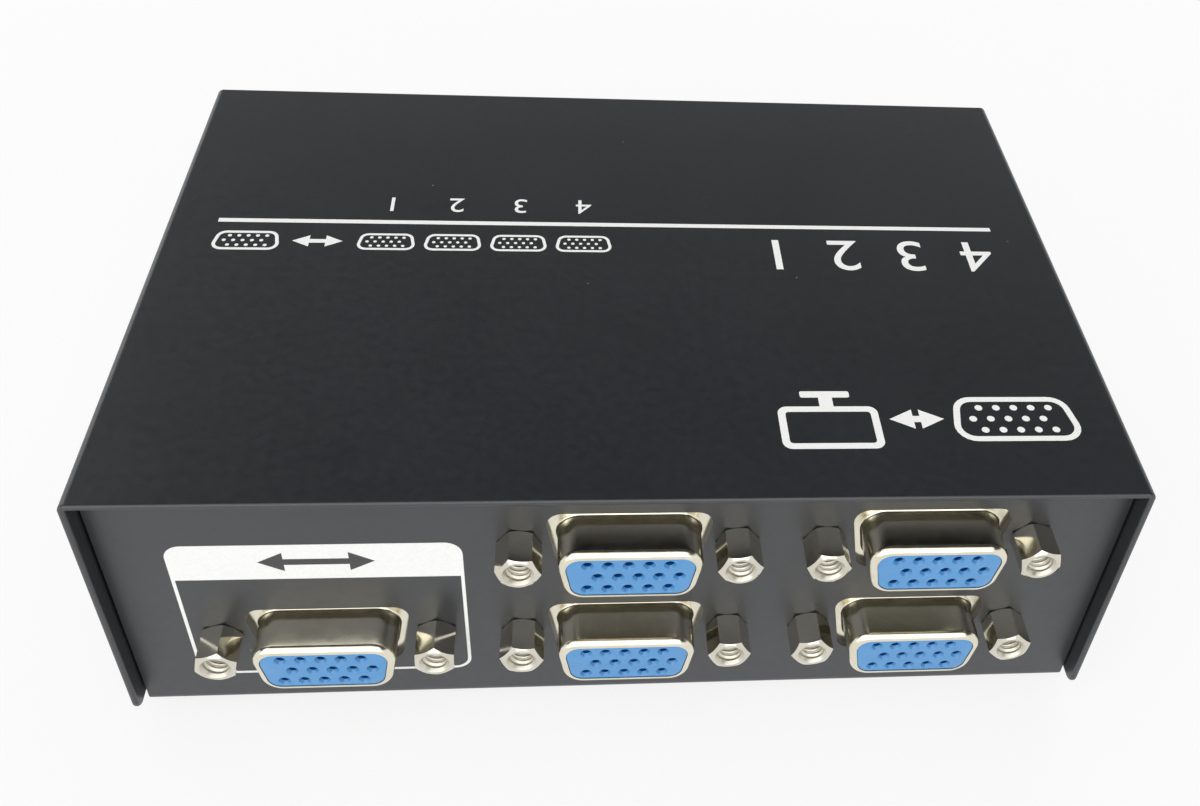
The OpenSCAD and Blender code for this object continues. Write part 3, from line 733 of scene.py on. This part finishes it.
def hex_lock(shape, place, turn):
    """Hexagonal screw lock with chamfered ends, a threaded bore and a stud."""
    flat = HEX_AF / 2
    rim = flat * HEX_RIM
    foot = flat * HEX_FOOT
    drop = math.tan(math.radians(HEX_CHAMFER))
    mouth_end = HEX_LEN - (MOUTH_R - THREAD_R)
    bore_end = HEX_LEN - BORE_DEPTH
    angles = [2 * math.pi * i / HEX_COLUMNS + math.radians(turn) for i in range(HEX_COLUMNS)]

    def reach(angle):
        """Distance from the middle to the hexagon's side."""
        within = (angle - math.radians(turn)) % (math.pi / 3) - math.pi / 6
        return flat / math.cos(within)

    def ring(radius, height):
        """Ring of points; the radius and the height may depend on the angle."""
        points = []
        for angle in angles:
            r = radius(angle) if callable(radius) else radius
            z = height(angle) if callable(height) else height
            points.append(place @ Vector((r * math.cos(angle), r * math.sin(angle), z)))
        return points

    def thread(height):
        """Bore radius along a helix, fading in behind the countersink."""
        depth = (THREAD_R - BORE_R) * min(1, (mouth_end - height) / THREAD_PITCH)

        def radius(angle):
            turn_part = height / THREAD_PITCH * 2 * math.pi - angle
            return THREAD_R - depth * (0.5 + 0.5 * math.cos(turn_part))
        return radius

    rings = [ring(STUD_TIP_R, -STUD_LEN), ring(STUD_R, -STUD_LEN + STUD_TIP_LEN), ring(STUD_R, 0)]
    rings.append(ring(foot, 0))
    rings.append(ring(reach, lambda a: (reach(a) - foot) * drop))
    rings.append(ring(reach, lambda a: HEX_LEN - (reach(a) - rim) * drop))
    rings.append(ring(rim, HEX_LEN))
    rings.append(ring(MOUTH_R, HEX_LEN))
    bored_from = len(rings)
    for i in range(THREAD_ROWS + 1):
        height = mouth_end + (bore_end - mouth_end) * i / THREAD_ROWS
        rings.append(ring(thread(height), height))
    rows = capped_loft(shape, rings)
    use_second_material(rows[bored_from:])


def screw_locks(port):
    """The two screw locks of a socket, each at the turn at which it came tight."""
    middle = port_middle(port)
    shape = bmesh.new()
    for side, turn in zip((-1, 1), HEX_TURN[port]):
        seat = (middle.x + side * JACK_PITCH / 2, SOCKET_PANEL, middle.z)
        hex_lock(shape, facing(seat, (1, 0, 0), (0, 0, 1)), turn)
    piece = add_piece(port + "_screw_locks", shape, TURNED_NICKEL, crease=28)
    piece.data.materials.append(CUT_NICKEL)
    round_edges(piece, HEX_EDGE, segments=2, least_angle=40)
    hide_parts(port + "_jackscrews")


# Springs

def coil_spring(node, axis):
    """Spring in place of a packed one, wound from its start along the axis."""
    low, high = [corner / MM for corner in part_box(node)]
    along = Vector(axis)
    side = Vector((0, 0, 1))
    length = (high - low).dot(along)
    radius = (high.z - low.z - WIRE) / 2
    start = (low + high) / 2 - along * length / 2
    open_pitch = (length - WIRE - 2 * CLOSED_PITCH) / OPEN_TURNS
    section = ring_of((0, 0), WIRE / 2, WIRE_STEPS)
    rings = []
    for i in range(SPRING_TURNS * TURN_STEPS + 1):
        turn = i / TURN_STEPS
        opened = min(max(turn - 1, 0), OPEN_TURNS)
        rise = WIRE / 2 + opened * open_pitch + (turn - opened) * CLOSED_PITCH
        angle = 2 * math.pi * turn
        outward = side * math.cos(angle) + along.cross(side) * math.sin(angle)
        middle = start + along * rise + outward * radius
        rings.append([middle + outward * x + along * y for x, y in section])
    shape = bmesh.new()
    capped_loft(shape, rings)
    piece = add_piece(node + "_coil", shape, FINISHES["spring_steel"], crease=60)
    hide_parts(node)
    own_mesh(piece)


def coil_springs():
    """The springs of the four buttons and of the latch bar."""
    for k in BUTTONS:
        coil_spring("plunger_spring_%d" % k, (0, 1, 0))
    coil_spring("latch_spring", (1, 0, 0))


# White print

def printed(name, groups, place):
    """White ink within groups of outlines: thin plates just proud of the paint."""
    shape = bmesh.new()
    for loops in groups:
        filled(shape, loops, place @ lifted(INK_T / 2 - INK_SUNK / 2), INK_T + INK_SUNK)
    add_piece(name, shape, INK)


def numerals(name, words, size, place):
    """Plain printed numerals: each is a text and the place of its middle."""
    shape = bmesh.new()
    for word, (x, y) in words:
        text = bpy.data.curves.new("numeral", "FONT")
        text.body = word
        text.size = size
        text.extrude = (INK_T + INK_SUNK) / 2
        text.align_x = "CENTER"
        text.align_y = "CENTER"
        add_curve(shape, text, place @ Matrix.Translation((x, y, (INK_T - INK_SUNK) / 2)))
    add_piece(name, shape, INK)


def two_way_arrow(x, y, length, height):
    """Outline of an arrow with a head at each end, about its middle."""
    half = length / 2
    head = height * 0.9
    stem = height * 0.16
    right = [(half - head, -height / 2), (half, 0), (half - head, height / 2), (half - head, stem)]
    left = [(-half + head, stem), (-half + head, height / 2), (-half, 0), (-half + head, -height / 2)]
    ends = [(-half + head, -stem), (half - head, -stem)]
    return [(x + a, y + b) for a, b in right + left + ends]


def socket_sign(x, y, width, line):
    """Line drawing of a socket: a D with three rows of dots."""
    scale = width / SHELL_W
    outlines = []
    for grow in (0, -line):
        outline = d_outline(grow, width, SHELL_H * scale, SHELL_CORNER * scale, SIGN_STEPS)
        outlines.append([(x + a, y + b) for a, b in outline])
    groups = [outlines]
    for a, b in contact_places():
        groups.append([ring_of((x + a * scale, y + b * scale), DOT_R * scale, DOT_STEPS)])
    return groups


def screen_sign(x, y, width, height, line):
    """Line drawing of a screen on its foot."""
    neck = height * 0.16
    neck_half = width * 0.07
    foot_half = width * 0.25
    foot_high = line * 1.2
    low = y - height / 2 + neck + foot_high
    left, right, high = x - width / 2, x + width / 2, y + height / 2
    outer = rounded_box(left, low, right, high, 1.3 * line)
    inner = rounded_box(left + line, low + line, right - line, high - line, 0.5 * line)
    stand = rounded_box(x - neck_half, low - neck, x + neck_half, low, 0)
    foot = rounded_box(x - foot_half, low - neck - foot_high, x + foot_half, low - neck, 0.3 * line)
    return [[outer, inner], [stand], [foot]]


def panel_print():
    """Frame round the common socket, with a two-way arrow left clear in its band."""
    middle = port_middle("common_port").x
    left, right = middle - FRAME_HALF, middle + FRAME_HALF
    outer = rounded_box(left, FRAME_LOW, right, FRAME_HIGH, FRAME_CORNER)
    round_in = FRAME_CORNER - FRAME_LINE
    inside = (left + FRAME_LINE, FRAME_LOW + FRAME_LINE, right - FRAME_LINE, BAND_LOW)
    inner = rounded_box(*inside, (round_in, round_in, 0, 0))
    arrow = two_way_arrow(middle, (BAND_LOW + FRAME_HIGH) / 2, length=13, height=3.2)
    place = facing((0, SOCKET_PANEL, 0), (1, 0, 0), (0, 0, 1))
    printed("panel_print", [[outer, inner, arrow]], place)


def top_print():
    """Rule, signs and plain numbers on the lid, read from the button side."""
    place = facing((0, 0, TOP), (-1, 0, 0), (0, -1, 0))
    small_x = [SMALL_FIRST_X - SMALL_PITCH * i for i in range(len(BUTTONS))]
    large_x = [LARGE_FIRST_X - LARGE_PITCH * i for i in range(len(BUTTONS))]
    groups = [[rounded_box(*RULE, 0)]]
    groups += socket_sign(SMALL_COMMON_X, SMALL_SIGNS_Y, width=8.4, line=0.45)
    groups.append([two_way_arrow(SMALL_ARROW_X, SMALL_SIGNS_Y, length=6.4, height=2.4)])
    for x in small_x:
        groups += socket_sign(x, SMALL_SIGNS_Y, width=7.4, line=0.4)
    groups += screen_sign(LARGE_SCREEN_X, LARGE_SIGNS_Y, width=12, height=9.6, line=0.9)
    groups.append([two_way_arrow(LARGE_ARROW_X, LARGE_SIGNS_Y, length=6.6, height=3.2)])
    groups += socket_sign(LARGE_SOCKET_X, LARGE_SIGNS_Y, width=15.4, line=0.8)
    printed("lid_print", groups, place)
    small = [(str(k), (x, SMALL_NUMBER_Y)) for k, x in zip(BUTTONS, small_x)]
    numerals("lid_numbers", small, SMALL_NUMBER, place)
    large = [(str(k), (x, LARGE_NUMBER_Y)) for k, x in zip(BUTTONS, large_x)]
    numerals("lid_large_numbers", large, LARGE_NUMBER, place)


def button_print():
    """Numbers over the buttons."""
    place = facing((0, BUTTON_PANEL, 0), (-1, 0, 0), (0, 0, 1))
    words = []
    for k in BUTTONS:
        low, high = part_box("button_cap_%d" % k)
        words.append((str(k), (-(low.x + high.x) / 2 / MM, high.z / MM + BUTTON_NUMBER_RISE)))
    numerals("button_numbers", words, BUTTON_NUMBER, place)


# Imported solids

def break_edges(solid, width):
    """Sharp edges rounded a little, so that they catch the light."""
    weld = solid.modifiers.new("weld", "WELD")
    weld.merge_threshold = SOLID_WELD * MM
    flat = solid.modifiers.new("flat", "DECIMATE")
    flat.decimate_type = "DISSOLVE"
    flat.angle_limit = math.radians(SOLID_FLAT)
    round_edges(solid, width, segments=3, least_angle=35)
    even_normals(solid)


def dress_solids():
    """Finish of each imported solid, by its slot, and broken edges on those that show."""
    slots = {part["node"]: part["material_slot"] for part in frame["record"]["subparts"]}
    for name, solid in NODES.items():
        solid.data.materials.clear()
        solid.data.materials.append(FINISHES[slots[name]])
    for name, width in EDGES.items():
        break_edges(NODES[name], width)


# Stage

def seen_share(tree, share=None):
    """The given share, or all, for camera, glossy and transmission rays, and nothing for the rest."""
    path = tree.nodes.new("ShaderNodeLightPath")
    total = path.outputs["Is Camera Ray"]
    for name in ("Is Glossy Ray", "Is Transmission Ray"):
        most = tree.nodes.new("ShaderNodeMath")
        most.operation = "MAXIMUM"
        tree.links.new(total, most.inputs[0])
        tree.links.new(path.outputs[name], most.inputs[1])
        total = most.outputs[0]
    if share is None:
        return total
    times = tree.nodes.new("ShaderNodeMath")
    times.operation = "MULTIPLY"
    tree.links.new(share, times.inputs[1])
    tree.links.new(total, times.inputs[0])
    return times.outputs[0]


def mixed(tree, share, plain, seen, out):
    """A shader for plain light and one for what is seen, mixed by a share into an output node."""
    mix = tree.nodes.new("ShaderNodeMixShader")
    tree.links.new(share, mix.inputs["Fac"])
    tree.links.new(plain.outputs[0], mix.inputs[1])
    tree.links.new(seen.outputs[0], mix.inputs[2])
    tree.links.new(mix.outputs[0], tree.nodes.new(out).inputs["Surface"])


def floor():
    """White floor that keeps the object's shadow and whitens out with distance."""
    ground = bpy.data.objects.new("floor", bpy.data.meshes.new("floor"))
    shape = bmesh.new()
    bmesh.ops.create_grid(shape, x_segments=1, y_segments=1, size=FLOOR_SIZE)
    shape.to_mesh(ground.data)
    shape.free()
    bpy.context.scene.collection.objects.link(ground)
    material = bpy.data.materials.new("floor")
    material.use_nodes = True
    tree = material.node_tree
    tree.nodes.clear()
    paper = tree.nodes.new("ShaderNodeBsdfDiffuse")
    paper.inputs["Color"].default_value = PAPER
    glow = tree.nodes.new("ShaderNodeEmission")
    far = tree.nodes.new("ShaderNodeVectorMath")
    far.operation = "LENGTH"
    tree.links.new(tree.nodes.new("ShaderNodeTexCoord").outputs["Object"], far.inputs[0])
    share = mapped(tree, far.outputs["Value"], WHITEN_OVER, WHITE_SHARE)
    mixed(tree, seen_share(tree, share), paper, glow, "ShaderNodeOutputMaterial")
    ground.location.z = -FLOOR_DROP
    ground.data.materials.append(material)


def studio():
    """White walls to above what a level camera sees, a dim ceiling, and an even plain light."""
    world = bpy.data.worlds.new("studio")
    world.use_nodes = True
    bpy.context.scene.world = world
    tree = world.node_tree
    tree.nodes.clear()
    dim = tree.nodes.new("ShaderNodeBackground")
    dim.inputs["Color"].default_value = WHITE
    dim.inputs["Strength"].default_value = PLAIN_LIGHT
    room = tree.nodes.new("ShaderNodeBackground")
    room.inputs["Color"].default_value = WHITE
    way = tree.nodes.new("ShaderNodeTexCoord")
    parts = tree.nodes.new("ShaderNodeSeparateXYZ")
    tree.links.new(way.outputs["Generated"], parts.inputs["Vector"])
    fall = mapped(tree, parts.outputs["Z"], WALL_END, WALL_TO_CEILING)
    tree.links.new(fall, room.inputs["Strength"])
    mixed(tree, seen_share(tree), dim, room, "ShaderNodeOutputWorld")


def soft_light(name, place, target, size, power, mirrored=True):
    """Soft box aimed at a place; one that isn't mirrored shows in no gloss."""
    lamp = bpy.data.lights.new(name, "AREA")
    lamp.shape = "RECTANGLE"
    lamp.size, lamp.size_y = size
    lamp.energy = power
    holder = bpy.data.objects.new(name, lamp)
    bpy.context.scene.collection.objects.link(holder)
    holder.location = place
    aim = Vector(target) - Vector(place)
    holder.rotation_euler = aim.to_track_quat("-Z", "Y").to_euler()
    holder.visible_glossy = mirrored


def lights():
    soft_light("front_light", (-0.2, -0.7, 0.56), AIM, size=(1.7, 1.2), power=10.5)
    soft_light("left_light", (-0.85, 0.8, 0.6), AIM, size=(0.5, 0.5), power=1.3)
    soft_light("back_light", (0.25, 0.9, 0.3), AIM, size=(0.9, 0.5), power=4.0, mirrored=False)
    soft_light("top_light", (0, 0.1, 1.0), (0, 0, 0), size=(0.9, 0.9), power=2.5, mirrored=False)


def camera():
    lens = bpy.data.cameras.new("camera")
    lens.lens = CAMERA_LENS
    lens.sensor_width = CAMERA_SENSOR
    lens.shift_x, lens.shift_y = CAMERA_SHIFT
    lens.clip_start = CAMERA_NEAR * MM
    holder = bpy.data.objects.new("camera", lens)
    holder.location = [c * MM for c in CAMERA_PLACE]
    holder.rotation_euler = Euler([math.radians(a) for a in CAMERA_TURN], "XYZ")
    bpy.context.scene.collection.objects.link(holder)
    bpy.context.scene.camera = holder


camera()
lights()
floor()
studio()
dress_solids()
folded_cover()
for port in PORTS:
    drawn_shell(port)
    moulded_insert(port)
    screw_locks(port)
coil_springs()
panel_print()
top_print()
button_print()
bpy.context.scene.view_settings.view_transform = "Standard"
